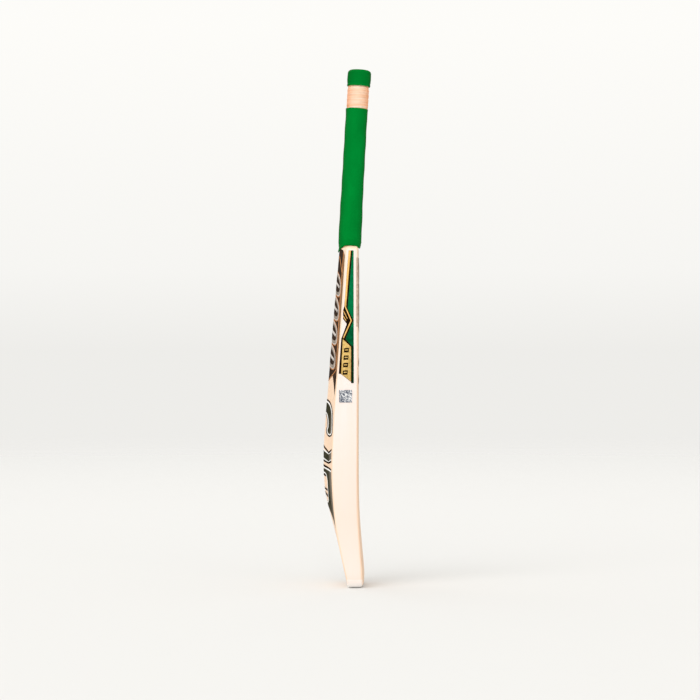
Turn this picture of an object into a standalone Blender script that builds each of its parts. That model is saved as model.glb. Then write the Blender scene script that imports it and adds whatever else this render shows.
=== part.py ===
"""Adult short-handle cricket bat, upright on its toe, in metres.

+Z runs up the bat, the playing face looks along -Y and the spine along +Y. The origin is the middle of the
toe's flat underside. The blade is one piece of willow with a V cut into its top. The handle is twelve strips
of cane glued round three rubber inserts, cut to a V below and turned to an oval above. Twine binds the
handle, and a rubber sleeve and a separate top band cover the twine. Glued joints keep a gap of GLUE_GAP.
"""

import math

import bmesh
import bpy
import numpy as np
from mathutils import Vector

# Driving dimensions.
BLADE_WIDTH = 0.108
TOE_CORNER = 0.018
TOE_GUARD = 0.0025
TOE_GUARD_HEIGHT = 0.0150
GLUE_GAP = 0.0003

# Shoulders: the height where the flat edge ends, the round corner above it, and the height and half width at
# the neck. Above TOP_ROUND_Z the face and the back draw in.
EDGE_TOP_Z = 0.5540
SHOULDER_ROUND = 0.0065
SHOULDER_ROUND_TURN = math.radians(78)
NECK_Z = 0.5642
NECK_HALF_WIDTH = 0.0185
TOP_ROUND_Z = 0.5550
TOP_ROUND = 0.0098

# Side profile of the blade, as (height, distance back from the origin): the middle of the face, the back of
# the edge and the ridge of the spine. The toe bows forwards, and the swell is 0.2 m above the toe.
FACE_LINE = ((0.000, -0.0156), (0.009, -0.0165), (0.020, -0.0169), (0.034, -0.0162), (0.057, -0.0141),
             (0.090, -0.0112), (0.124, -0.0090), (0.160, -0.0080), (0.260, -0.0076), (0.420, -0.0078),
             (0.566, -0.0076))
EDGE_LINE = ((0.000, 0.0100), (0.030, 0.0166), (0.060, 0.0233), (0.079, 0.0269), (0.099, 0.0304),
             (0.130, 0.0341), (0.162, 0.0364), (0.192, 0.0375), (0.227, 0.0370), (0.292, 0.0338),
             (0.357, 0.0284), (0.423, 0.0235), (0.566, 0.0140))
SPINE_LINE = ((0.000, 0.0104), (0.030, 0.0172), (0.057, 0.0238), (0.079, 0.0292), (0.099, 0.0341),
              (0.124, 0.0409), (0.157, 0.0479), (0.190, 0.0505), (0.224, 0.0506), (0.257, 0.0490),
              (0.324, 0.0438), (0.457, 0.0327), (0.566, 0.0236))
FACE_CROWN = ((0.000, 0.0034), (0.040, 0.0034), (0.090, 0.0026), (0.180, 0.0018), (0.320, 0.0014),
              (0.566, 0.0013))
FACE_CORNER = ((0.000, 0.0046), (0.080, 0.0046), (0.180, 0.0042), (0.566, 0.0036))
BACK_CORNER = 0.0030
TOE_FACE_ROUND = 0.0070
TOE_BACK_ROUND = 0.0020
SPINE_ROUND = 0.0065
FLANK_HOLLOW = 0.38
SPINE_CROWDING = 1.5

# The splice: a V through the blade from face to spine. Cutters run over by OVERCUT, and pass right through
# the bat between the distances back in THROUGH.
OVERCUT = 0.0040
THROUGH = (-0.0300, 0.0700)
SPLICE_TIP_Z = 0.426
SPLICE_TIP = 0.0010
SPLICE_HALF_WIDTH = 0.0164

# The handle's own frame starts where its axis passes the shoulders, and leans towards the face.
HANDLE_START = (0.0, 0.0080, 0.5600)
HANDLE_LEAN = math.radians(3.2)
HANDLE_OVAL = 0.97
CANE_TOP = 0.2945
CANE_RADIUS = ((0.002, 0.0160), (0.045, 0.0159), (0.095, 0.0152), (0.180, 0.0150), (CANE_TOP, 0.0148))
CANE_BENDS = tuple(h for h, _ in CANE_RADIUS[1:-1])
STRIP_FOOT = -0.1600
OUTSIDE = 0.0500
INSERT_THICKNESS = 0.0014
CANE_COLUMN = 0.0064
CANE_ROW = 0.0104

BINDING_FOOT = 0.0060
BINDING_THICKNESS = 0.0010
BINDING_SWELL = 0.0010
BINDING_STEP = 0.0010

GRIP_TOP = 0.2328
GRIP_WALL = 0.0016
GRIP_RIM = 0.0004
GRIP_RIM_HEIGHT = 0.0030
GRIP_SIDE_FOOT = 0.0046
GRIP_BACK_DIP = 0.0112
GRIP_FACE_DIP = 0.0022
GRIP_DIP_FADE = 0.0400
GRIP_FOOT_ROOM = 0.0010
GRIP_CLEARANCE_TOP = 0.0300
GRIP_CLEARANCE_RADIUS = 0.0340

BAND_FOOT = 0.2704
BAND_TOP = 0.2978
BAND_RADIUS = 0.0198
BAND_ROUND = 0.0066
BAND_MOUTH = 0.0092
BAND_TAPER = 0.0006

LABEL_THICKNESS = 0.0003

# How finely the round shapes are divided.
SIDES = 40
TOE_SECTION_ANGLES = (0, 14, 28, 42, 56, 72)
EDGE_SECTIONS = 55
SHOULDER_SECTION_SHARES = (0.25, 0.5, 0.75, 1)
SLOPE_SECTIONS = 4
TOE_ARC_POINTS = 7
BAND_ARC_POINTS = 6
SWELL_POINTS = 3
SLOPE_STEP = 0.0005

# The labels on the back and the face: heights of the lower end at the middle and the sides, heights of the
# upper end at the middle and the sides, and the half width.
UPPER_LABEL = (0.3400, 0.3600, 0.5555, 0.5470, 0.0475)
LOWER_LABEL = (0.1320, 0.0985, 0.2330, 0.2290, 0.0450)
FACE_LABEL = (0.4180, 0.4290, 0.5430, 0.5430, 0.0490)
EMBLEM_MIDDLE = 0.2720
EMBLEM_HALF_WIDTH = 0.0315
EMBLEM_HALF_HEIGHT = 0.0250
EMBLEM_SWEEP = math.radians(113)
EMBLEM_BAND = 0.0260
EMBLEM_END = 0.94
EDGE_LABEL_HEIGHTS = (0.5538, 0.4900, 0.4340, 0.3960, 0.3525)
EDGE_LABEL_BACK_INSET = 0.0014
EDGE_LABEL_FRONT_INSET = 0.0042
EDGE_LABEL_TIP_Z = 0.3370
HOLOGRAM_Y = (0.0036, 0.0248)
HOLOGRAM_Z = (0.3054, 0.3258)

COLOURS = {
    "willow": ((0.86, 0.70, 0.50), 0.55, 0.0),
    "cane": ((0.74, 0.55, 0.32), 0.60, 0.0),
    "insert_rubber": ((0.03, 0.03, 0.03), 0.80, 0.0),
    "twine": ((0.88, 0.68, 0.50), 0.75, 0.0),
    "grip_rubber": ((0.00, 0.24, 0.05), 0.60, 0.0),
    "toe_rubber": ((0.85, 0.80, 0.70), 0.45, 0.0),
    "back_label": ((0.06, 0.05, 0.04), 0.40, 0.0),
    "edge_label": ((0.00, 0.20, 0.08), 0.35, 0.0),
    "face_label": ((0.22, 0.16, 0.12), 0.40, 0.0),
    "hologram_foil": ((0.55, 0.57, 0.60), 0.25, 0.8),
}


def clear_scene():
    for obj in list(bpy.data.objects):
        bpy.data.objects.remove(obj)


def material(name):
    """A Principled material from COLOURS, made once."""
    if name in bpy.data.materials:
        return bpy.data.materials[name]
    colour, roughness, metallic = COLOURS[name]
    made = bpy.data.materials.new(name)
    made.use_nodes = True
    shader = made.node_tree.nodes["Principled BSDF"]
    shader.inputs["Base Color"].default_value = (*colour, 1.0)
    shader.inputs["Roughness"].default_value = roughness
    shader.inputs["Metallic"].default_value = metallic
    return made


def add_object(name, bm, finish, parent=None, smooth_angle=math.radians(35)):
    """Makes a named object of bm, in triangles, with its normals out and its round sides smooth."""
    bmesh.ops.recalc_face_normals(bm, faces=bm.faces)
    bmesh.ops.triangulate(bm, faces=bm.faces)
    mesh = bpy.data.meshes.new(name)
    bm.to_mesh(mesh)
    bm.free()
    mesh.shade_smooth()
    mesh.set_sharp_from_angle(angle=smooth_angle)
    obj = bpy.data.objects.new(name, mesh)
    bpy.context.scene.collection.objects.link(obj)
    if finish:
        obj.data.materials.append(material(finish))
    obj.parent = parent
    return obj


def as_helper(obj):
    """Keeps a cutter or a guide out of the model."""
    obj.hide_render = True
    obj.display_type = "WIRE"
    return obj


def boolean(obj, other, operation):
    modifier = obj.modifiers.new(f"{operation.lower()}_{other.name}", "BOOLEAN")
    modifier.operation = operation
    modifier.object = other


def curve(points):
    """A smooth function through (position, value) points: cubic spans whose slopes never overshoot."""
    x, y = np.array(points, float).T
    step = np.diff(y) / np.diff(x)
    slope = np.concatenate([[step[0]], (step[:-1] + step[1:]) / 2, [step[-1]]])
    slope[1:-1][step[:-1] * step[1:] <= 0] = 0.0

    def value(at):
        i = int(np.clip(np.searchsorted(x, at) - 1, 0, len(step) - 1))
        span = x[i + 1] - x[i]
        t = min(max((at - x[i]) / span, 0.0), 1.0)
        rise = y[i] * (2 * t**3 - 3 * t**2 + 1) + y[i + 1] * (3 * t**2 - 2 * t**3)
        return rise + span * (slope[i] * (t**3 - 2 * t**2 + t) + slope[i + 1] * (t**3 - t**2))

    return value


face_line = curve(FACE_LINE)
edge_line = curve(EDGE_LINE)
spine_line = curve(SPINE_LINE)
face_crown = curve(FACE_CROWN)
face_corner = curve(FACE_CORNER)
cane_radius = curve(CANE_RADIUS)


def half_width(z):
    """Half the blade's width at height z: round toe corners, straight edges, round and sloping shoulders."""
    half = BLADE_WIDTH / 2
    if z < TOE_CORNER:
        return half - TOE_CORNER + math.sqrt(TOE_CORNER**2 - (TOE_CORNER - z) ** 2)
    rise = z - EDGE_TOP_Z
    slope_start = SHOULDER_ROUND * math.sin(SHOULDER_ROUND_TURN)
    if rise <= 0:
        return half
    if rise <= slope_start:
        return half - SHOULDER_ROUND + math.sqrt(SHOULDER_ROUND**2 - rise**2)
    start = half - SHOULDER_ROUND + SHOULDER_ROUND * math.cos(SHOULDER_ROUND_TURN)
    share = (rise - slope_start) / (NECK_Z - EDGE_TOP_Z - slope_start)
    return start + (NECK_HALF_WIDTH - start) * share


def end_rounding(z, toe_round):
    """How far the face and back draw in near the shoulders' top and the toe's bottom edge."""
    if z > TOP_ROUND_Z:
        return TOP_ROUND - math.sqrt(TOP_ROUND**2 - (z - TOP_ROUND_Z) ** 2)
    if z < toe_round:
        return toe_round - math.sqrt(toe_round**2 - (toe_round - z) ** 2)
    return 0.0


def face_y(x, z):
    """The playing face: a shallow crown across the blade."""
    return face_line(z) + end_rounding(z, TOE_FACE_ROUND) + face_crown(z) * (x / (BLADE_WIDTH / 2)) ** 2


def back_y(x, z):
    """The back: a rounded spine with slightly hollow flanks."""
    edge_x = half_width(z) - BACK_CORNER
    out = math.hypot(x, SPINE_ROUND) - SPINE_ROUND
    reach = math.hypot(edge_x, SPINE_ROUND) - SPINE_ROUND
    t = max(0.0, 1 - out / reach)
    lift = (1 - FLANK_HOLLOW) * t + FLANK_HOLLOW * t * t
    edge, spine = edge_line(z), spine_line(z)
    return edge + (spine - edge) * lift - end_rounding(z, TOE_BACK_ROUND)


def corner_arc(centre, radius, start, end, steps):
    """Points of an arc, from angle start to end in degrees, in the XY plane."""
    angles = np.radians(np.linspace(start, end, steps + 1))
    return [(centre[0] + radius * math.cos(a), centre[1] + radius * math.sin(a)) for a in angles]


def across(count):
    """count + 1 shares of a half width, from 0 at the spine to 1, closer together near the spine."""
    return np.linspace(0, 1, count + 1) ** SPINE_CROWDING


def body_section(z, face_points=8, flank_points=11, corner_steps=4):
    """Half of the bat's outline at height z, from the middle of the face round the +X edge to the spine."""
    half, r = half_width(z), face_corner(z)
    flat = half - r
    face = [(flat * t, face_y(flat * t, z)) for t in np.linspace(0, 1, face_points, endpoint=False)]
    front = corner_arc((flat, face_y(flat, z) + r), r, -90, 0, corner_steps)
    edge_x = half - BACK_CORNER
    back_corner = corner_arc((edge_x, back_y(edge_x, z) - BACK_CORNER), BACK_CORNER, 0, 90, corner_steps)
    flank = [(edge_x * t, back_y(edge_x * t, z)) for t in across(flank_points)[-2::-1]]
    return face + front + back_corner + flank


def loft(bm, rings):
    """Joins closed rings of points in order and caps both ends."""
    loops = [[bm.verts.new(p) for p in ring] for ring in rings]
    for low, high in zip(loops, loops[1:]):
        for i in range(len(low)):
            j = (i + 1) % len(low)
            bm.faces.new((low[i], low[j], high[j], high[i]))
    bm.faces.new(loops[0][::-1])
    bm.faces.new(loops[-1])


def body_heights():
    """Heights of the blade's sections: close together round the toe's corners and the shoulders."""
    toe = [TOE_CORNER * (1 - math.cos(math.radians(a))) for a in TOE_SECTION_ANGLES]
    straight = list(np.linspace(TOE_CORNER, EDGE_TOP_Z, EDGE_SECTIONS))
    turns = [SHOULDER_ROUND_TURN * share for share in SHOULDER_SECTION_SHARES]
    corner = [EDGE_TOP_Z + SHOULDER_ROUND * math.sin(turn) for turn in turns]
    slope = list(np.linspace(corner[-1], NECK_Z, SLOPE_SECTIONS)[1:])
    return toe + straight + corner + slope


def make_body():
    """The outer shape of blade, toe guard and splice together."""
    rings = []
    for z in body_heights():
        right = body_section(z)
        left = [(-x, y) for x, y in right[-2:0:-1]]
        rings.append([(x, y, z) for x, y in right + left])
    bm = bmesh.new()
    loft(bm, rings)
    return as_helper(add_object("body_shape", bm, None))


def through_cut(name, outline):
    """A prism right through the bat, from face to back, of an outline of (x, z) points."""
    bm = bmesh.new()
    loft(bm, [[(x, y, z) for x, z in outline] for y in THROUGH])
    return as_helper(add_object(name, bm, None))


def splice_wedge(name, gap):
    """The V of the splice, wider by gap each side, from the tip to above the shoulders."""
    grow = (SPLICE_HALF_WIDTH - SPLICE_TIP) / (NECK_Z - SPLICE_TIP_Z)
    over = OVERCUT if gap else 0.0
    top, tip = NECK_Z + over, SPLICE_TIP_Z - gap
    wide = SPLICE_HALF_WIDTH + gap + grow * over
    narrow = SPLICE_TIP + gap
    return through_cut(name, [(-wide, top), (-narrow, tip), (narrow, tip), (wide, top)])


def toe_shape(name, depth):
    """All that lies nearer than depth to the toe's outline: a U round the toe's flat and its two corners."""
    half, radius = BLADE_WIDTH / 2, TOE_CORNER
    inner_radius = radius - depth
    centre = half - radius
    reach = math.degrees(math.asin((radius - TOE_GUARD_HEIGHT) / inner_radius))
    arc = np.radians(np.linspace(90, reach, TOE_ARC_POINTS))
    inner = [(centre + inner_radius * math.cos(a), radius - inner_radius * math.sin(a)) for a in arc]
    outer = [(half + OVERCUT, TOE_GUARD_HEIGHT), (half + OVERCUT, -OVERCUT)]
    right = inner + outer
    return through_cut(name, right + [(-x, z) for x, z in right[::-1]])


def grip_dip(angle):
    """How far the grip's foot hangs below its sides, at an angle round the handle from +X."""
    depth = GRIP_BACK_DIP if math.sin(angle) > 0 else GRIP_FACE_DIP
    return depth * math.sin(angle) ** 4


def grip_inner_radius(h):
    """The binding's outside, where the sleeve covers it, and the glue gap round it."""
    return cane_radius(h) + BINDING_THICKNESS + 2 * GLUE_GAP


def turned(name, profile, finish, parent, foot=None):
    """Turns a closed (radius, height) profile round the handle's axis, oval across the bat.

    foot(angle, h) is how far a point at that angle and height drops.
    """
    bm = bmesh.new()
    ring = [bm.verts.new((r, 0.0, h)) for r, h in profile]
    edges = [bm.edges.new((ring[i], ring[(i + 1) % len(ring)])) for i in range(len(ring))]
    bmesh.ops.spin(bm, geom=ring + edges, cent=(0, 0, 0), axis=(0, 0, 1), angle=2 * math.pi, steps=SIDES,
                   use_merge=True)
    for v in bm.verts:
        if foot:
            v.co.z -= foot(math.atan2(v.co.y, v.co.x), v.co.z)
        v.co.x *= HANDLE_OVAL
    return add_object(name, bm, finish, parent)


def handle_axis():
    """An empty whose Z axis is the handle's axis."""
    empty = bpy.data.objects.new("handle_axis", None)
    bpy.context.scene.collection.objects.link(empty)
    empty.location = HANDLE_START
    empty.rotation_euler = (HANDLE_LEAN, 0, 0)
    return empty


def make_grip_clearance(axis):
    """Cuts the wood that the grip's foot covers, outside the neck and above the foot."""
    inner = grip_inner_radius(0) - GLUE_GAP
    low, high, outer = GRIP_SIDE_FOOT - GRIP_FOOT_ROOM, GRIP_CLEARANCE_TOP, GRIP_CLEARANCE_RADIUS
    profile = [(inner, low), (outer, low), (outer, high), (inner, high)]

    def foot(angle, h):
        return grip_dip(angle) if h < (low + high) / 2 else 0.0

    return as_helper(turned("grip_clearance", profile, None, axis, foot))


def make_blade(body, clearance):
    bm = bmesh.new()
    bm.from_mesh(body.data)
    blade = add_object("blade", bm, "willow")
    boolean(blade, splice_wedge("splice_cut", GLUE_GAP), "DIFFERENCE")
    boolean(blade, toe_shape("toe_cut", TOE_GUARD + GLUE_GAP), "DIFFERENCE")
    boolean(blade, clearance, "DIFFERENCE")


def make_toe_guard(body):
    bm = bmesh.new()
    bm.from_mesh(body.data)
    guard = add_object("toe_guard", bm, "toe_rubber")
    boolean(guard, toe_shape("toe_guard_shape", TOE_GUARD), "INTERSECT")


def make_handle_shape(body, clearance, axis):
    """The whole glued handle: the wedge, flush with the blade, and the turned oval above it."""
    bm = bmesh.new()
    bm.from_mesh(body.data)
    wedge = as_helper(add_object("wedge_shape", bm, None))
    boolean(wedge, splice_wedge("wedge_cut", 0.0), "INTERSECT")
    boolean(wedge, clearance, "DIFFERENCE")
    stem = bmesh.new()
    rings = []
    for h, r in CANE_RADIUS:
        angles = [2 * math.pi * i / SIDES for i in range(SIDES)]
        rings.append([(HANDLE_OVAL * r * math.cos(a), r * math.sin(a), h) for a in angles])
    loft(stem, rings)
    shape = as_helper(add_object("handle_shape", stem, None, axis))
    boolean(shape, wedge, "UNION")
    return shape


def strip(name, x_range, y_range, finish, shape, axis):
    """A straight strip along the handle, trimmed to the handle's outside."""
    (x0, x1), (y0, y1) = x_range, y_range
    corners = [(x0, y0), (x1, y0), (x1, y1), (x0, y1)]
    bm = bmesh.new()
    loft(bm, [[(x, y, h) for x, y in corners] for h in (STRIP_FOOT, CANE_TOP + OVERCUT)])
    boolean(add_object(name, bm, finish, axis), shape, "INTERSECT")


def make_cane_and_inserts(shape, axis):
    """Four columns of cane, three strips deep, with a rubber insert between each two columns."""
    inner = INSERT_THICKNESS / 2 + GLUE_GAP
    outer_insert = inner + CANE_COLUMN + GLUE_GAP
    outer = outer_insert + INSERT_THICKNESS + GLUE_GAP
    columns = {
        "outer_left": (-OUTSIDE, -outer),
        "inner_left": (-inner - CANE_COLUMN, -inner),
        "inner_right": (inner, inner + CANE_COLUMN),
        "outer_right": (outer, OUTSIDE),
    }
    row = CANE_ROW / 2
    rows = {"face": (-OUTSIDE, -row - GLUE_GAP), "core": (-row, row), "spine": (row + GLUE_GAP, OUTSIDE)}
    for column, x_range in columns.items():
        for depth, y_range in rows.items():
            strip(f"cane_{column}_{depth}", x_range, y_range, "cane", shape, axis)
    inserts = {
        "left": (-outer_insert - INSERT_THICKNESS, -outer_insert),
        "middle": (-INSERT_THICKNESS / 2, INSERT_THICKNESS / 2),
        "right": (outer_insert, outer_insert + INSERT_THICKNESS),
    }
    for side, x_range in inserts.items():
        strip(f"insert_{side}", x_range, (-OUTSIDE, OUTSIDE), "insert_rubber", shape, axis)


def make_binding(axis):
    """Twine wound over the cane, in extra layers where it shows between the grip and the top band."""
    low, high = BINDING_FOOT, CANE_TOP - BINDING_STEP
    inner = [(cane_radius(h) + GLUE_GAP, h) for h in [low, *CANE_BENDS, high][::-1]]

    def outer(h, extra=0.0):
        return (cane_radius(h) + GLUE_GAP + BINDING_THICKNESS + extra, h)

    shown_low, shown_high = GRIP_TOP + BINDING_STEP, BAND_FOOT - BINDING_STEP
    swell = np.linspace(shown_low + BINDING_STEP, shown_high - BINDING_STEP, SWELL_POINTS)
    outside = [outer(h) for h in (low, *CANE_BENDS, shown_low)]
    outside += [outer(h, BINDING_SWELL) for h in swell]
    outside += [outer(shown_high), outer(high)]
    turned("twine_binding", inner + outside, "twine", axis)


def make_grip(axis):
    """The rubber sleeve, with a thicker rim at each end and a foot that dips at the face and the spine."""
    low, high = GRIP_SIDE_FOOT, GRIP_TOP
    inner = [(grip_inner_radius(h), h) for h in [low, *CANE_BENDS, high][::-1]]
    outside = []
    for h in [low, low + GRIP_RIM_HEIGHT, *CANE_BENDS, high - GRIP_RIM_HEIGHT, high]:
        rim = GRIP_RIM if h in (low, high) else 0.0
        outside.append((grip_inner_radius(h) + GRIP_WALL + rim, h))

    def foot(angle, h):
        return grip_dip(angle) * max(0.0, 1 - (h - low) / GRIP_DIP_FADE)

    turned("grip_sleeve", inner + outside, "grip_rubber", axis, foot)


def make_top_band(axis):
    """The rubber band over the end of the handle: a rounded rim that turns in over the cane."""
    wall_in = cane_radius(CANE_TOP) + BINDING_THICKNESS + 2 * GLUE_GAP
    ceiling = CANE_TOP + GLUE_GAP
    centre = (BAND_RADIUS - BAND_ROUND, BAND_TOP - BAND_ROUND)
    arc = [(centre[0] + BAND_ROUND * math.cos(a), centre[1] + BAND_ROUND * math.sin(a))
           for a in np.radians(np.linspace(0, 90, BAND_ARC_POINTS))]
    profile = [(BAND_MOUTH, ceiling), (wall_in, ceiling), (wall_in, BAND_FOOT),
               (BAND_RADIUS - BAND_TAPER, BAND_FOOT)]
    profile += arc + [(BAND_MOUTH + BAND_TAPER, BAND_TOP)]
    turned("grip_top_band", profile, "grip_rubber", axis)


def surface_sheet(name, grid, finish):
    """A thin sheet over a grid of (point, outward normal), LABEL_THICKNESS thick, on a glue gap."""
    bm = bmesh.new()
    layers = []
    for lift in (GLUE_GAP, GLUE_GAP + LABEL_THICKNESS):
        layers.append([[bm.verts.new(p + n * lift) for p, n in row] for row in grid])
    under, over = layers
    rows, columns = len(grid), len(grid[0])
    for r in range(rows - 1):
        for c in range(columns - 1):
            for layer in layers:
                bm.faces.new((layer[r][c], layer[r][c + 1], layer[r + 1][c + 1], layer[r + 1][c]))
    for c in range(columns - 1):
        for r in (0, rows - 1):
            bm.faces.new((under[r][c], under[r][c + 1], over[r][c + 1], over[r][c]))
    for r in range(rows - 1):
        for c in (0, columns - 1):
            bm.faces.new((under[r][c], under[r + 1][c], over[r + 1][c], over[r][c]))
    add_object(name, bm, finish)


def on_surface(height_of, x, z, outward):
    """The point of a surface y = height_of(x, z) and its normal on the outward side."""
    step = SLOPE_STEP
    slope_x = (height_of(x + step, z) - height_of(x - step, z)) / (2 * step)
    slope_z = (height_of(x, z + step) - height_of(x, z - step)) / (2 * step)
    normal = Vector((-slope_x, 1.0, -slope_z)).normalized() * outward
    return Vector((x, height_of(x, z), z)), normal


def make_label(name, extent, surface, outward, finish, columns=8, rows=18):
    """A film whose ends slant from the middle out to the sides."""
    low_middle, low_side, high_middle, high_side, half = extent
    grid = [[] for _ in range(rows)]
    shares = across(columns)
    for x in half * np.concatenate([-shares[:0:-1], shares]):
        low = low_middle + (low_side - low_middle) * abs(x) / half
        high = high_middle + (high_side - high_middle) * abs(x) / half
        for row, z in zip(grid, np.linspace(low, high, rows)):
            row.append(on_surface(surface, x, z, outward))
    surface_sheet(name, grid, finish)


def make_emblem(columns=45, rows=5):
    """A broad arch across the spine, with round ends."""
    angles = np.linspace(-EMBLEM_SWEEP, EMBLEM_SWEEP, columns)
    middle = [np.array((EMBLEM_HALF_WIDTH * math.sin(a), EMBLEM_MIDDLE + EMBLEM_HALF_HEIGHT * math.cos(a)))
              for a in angles]
    travel = np.concatenate([[0], np.cumsum([np.hypot(*(b - a)) for a, b in zip(middle, middle[1:])])])
    grid = [[] for _ in range(rows)]
    for k in range(columns):
        way = middle[min(k + 1, columns - 1)] - middle[max(k - 1, 0)]
        side = np.array((-way[1], way[0])) / np.hypot(*way)
        from_end = min(travel[k], travel[-1] - travel[k])
        short = max(0.0, 1 - from_end / (EMBLEM_BAND / 2))
        half_band = EMBLEM_BAND / 2 * math.sqrt(1 - (EMBLEM_END * short) ** 2)
        for row, share in zip(grid, np.linspace(-1, 1, rows)):
            x, z = middle[k] + side * half_band * share
            row.append(on_surface(back_y, x, z, 1))
    surface_sheet("back_emblem", grid, "back_label")


def edge_slab(name, outline, side, finish):
    """A thin slab on the flat edge at X = side * half width, of an outline of (y, z) points."""
    near = BLADE_WIDTH / 2 + GLUE_GAP
    bm = bmesh.new()
    loft(bm, [[(side * x, y, z) for y, z in outline] for x in (near, near + LABEL_THICKNESS)])
    add_object(name, bm, finish)


def edge_label_outline():
    """The edge label: it widens downwards with the edge, and ends on a slant."""
    half = BLADE_WIDTH / 2
    back = [(edge_line(z) - BACK_CORNER - EDGE_LABEL_BACK_INSET, z) for z in EDGE_LABEL_HEIGHTS]
    front = [(face_y(half, z) + face_corner(z) + EDGE_LABEL_FRONT_INSET, z) for z in EDGE_LABEL_HEIGHTS]
    return back + [(front[-1][0], EDGE_LABEL_TIP_Z)] + front[::-1]


def make_edge_labels():
    for side, name in ((-1, "left"), (1, "right")):
        edge_slab(f"edge_label_{name}", edge_label_outline(), side, "edge_label")
    (front, back), (low, high) = HOLOGRAM_Y, HOLOGRAM_Z
    edge_slab("hologram_label", [(front, low), (back, low), (back, high), (front, high)], -1, "hologram_foil")


def main():
    clear_scene()
    axis = handle_axis()
    body = make_body()
    clearance = make_grip_clearance(axis)
    make_blade(body, clearance)
    make_toe_guard(body)
    shape = make_handle_shape(body, clearance, axis)
    make_cane_and_inserts(shape, axis)
    make_binding(axis)
    make_grip(axis)
    make_top_band(axis)
    make_label("back_label_upper", UPPER_LABEL, back_y, 1, "back_label")
    make_label("back_label_lower", LOWER_LABEL, back_y, 1, "back_label")
    make_label("face_label", FACE_LABEL, face_y, -1, "face_label")
    make_emblem()
    make_edge_labels()


main()
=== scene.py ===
"""A cricket bat standing on its toe, seen from its left edge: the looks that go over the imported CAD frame.

+Z runs up the bat, the playing face looks along -Y and the spine along +Y. Sizes are in metres. Every label
is drawn flat, as outlines of (across, height) points, and then laid on the wood under it.
"""

import math

import bmesh
import bpy
import numpy as np
from mathutils import Euler, Matrix, Vector
from mathutils.bvhtree import BVHTree


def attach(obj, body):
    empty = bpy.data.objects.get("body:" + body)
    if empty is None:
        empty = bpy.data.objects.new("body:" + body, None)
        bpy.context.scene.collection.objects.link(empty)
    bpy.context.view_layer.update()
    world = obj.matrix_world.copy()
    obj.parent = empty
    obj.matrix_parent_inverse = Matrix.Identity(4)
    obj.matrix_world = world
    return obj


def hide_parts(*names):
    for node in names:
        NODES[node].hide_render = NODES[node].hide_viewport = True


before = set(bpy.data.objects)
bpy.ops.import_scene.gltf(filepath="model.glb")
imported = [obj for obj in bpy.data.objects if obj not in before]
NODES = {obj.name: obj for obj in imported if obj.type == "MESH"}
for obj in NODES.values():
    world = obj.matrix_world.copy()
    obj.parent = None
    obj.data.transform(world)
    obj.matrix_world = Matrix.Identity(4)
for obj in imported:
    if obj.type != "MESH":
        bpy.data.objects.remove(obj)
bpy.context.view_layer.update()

# The camera stands level at the bat's left, and its picture is as wide as VIEW_WIDTH at the bat.
CAMERA_DISTANCE = 3.3
CAMERA_HEIGHT = 0.3914
CAMERA_SIDEWAYS = 0.0070
VIEW_WIDTH = 1.1663
SENSOR_MM = 36.0

# The handle's axis starts at the shoulders and leans towards the face. Its section is an oval, HANDLE_OVAL
# times as wide across the bat as it is deep.
HANDLE_START = Vector((0.0, 0.0080, 0.5600))
HANDLE_LEAN = math.radians(3.2)
HANDLE_OVAL = 0.97

# The floor lies just below the toe, and fades out between these two distances from the bat.
FLOOR_DROP = 0.0001
FLOOR_FADE = (1.2, 6.0)

# A label is a stack of films. The lowest lies LABEL_LIFT above the wood, and each layer PRINT_LAYER above the
# last. A film on the curved back or face is cut into squares of FILM_GRID, so that it can bend.
LABEL_LIFT = 0.00028
PRINT_LAYER = 0.00010
FILM_THICKNESS = 0.00008
FILM_GRID = 0.0045
EDGE_FILM_GRID = 0.02
# How far to look beside a glue line, and how much deeper than the wood a ray in one ends.
GLUE_STEP = 0.0008
GLUE_DEPTH = 0.0010

# Half the width of the labels on the back and the face, and half the width of the blade.
LABEL_HALF = 0.0500
EDGE_X = 0.0540
# A stroke that goes on in its mirror image starts just past the spine, so that the two overlap.
PAST_SPINE = -0.0002

# A corner of a stroke's outline reaches out by at most 1 / MITRE_LIMIT times half its width.
MITRE_LIMIT = 0.35
# The power of the sine and cosine in a petal's outline: 1 gives an oval, and less gives squarer corners.
PETAL_POWER = 0.8


# ---------------------------------------------------------------- materials


def set_stops(band, stops):
    """Gives a colour ramp its stops, each of them a position and a colour or a grey."""
    while len(band.elements) < len(stops):
        band.elements.new(0.5)
    for element, (position, colour) in zip(band.elements, stops):
        element.position = position
        grey = not isinstance(colour, tuple)
        element.color = (colour, colour, colour, 1.0) if grey else (*colour, 1.0)


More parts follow.
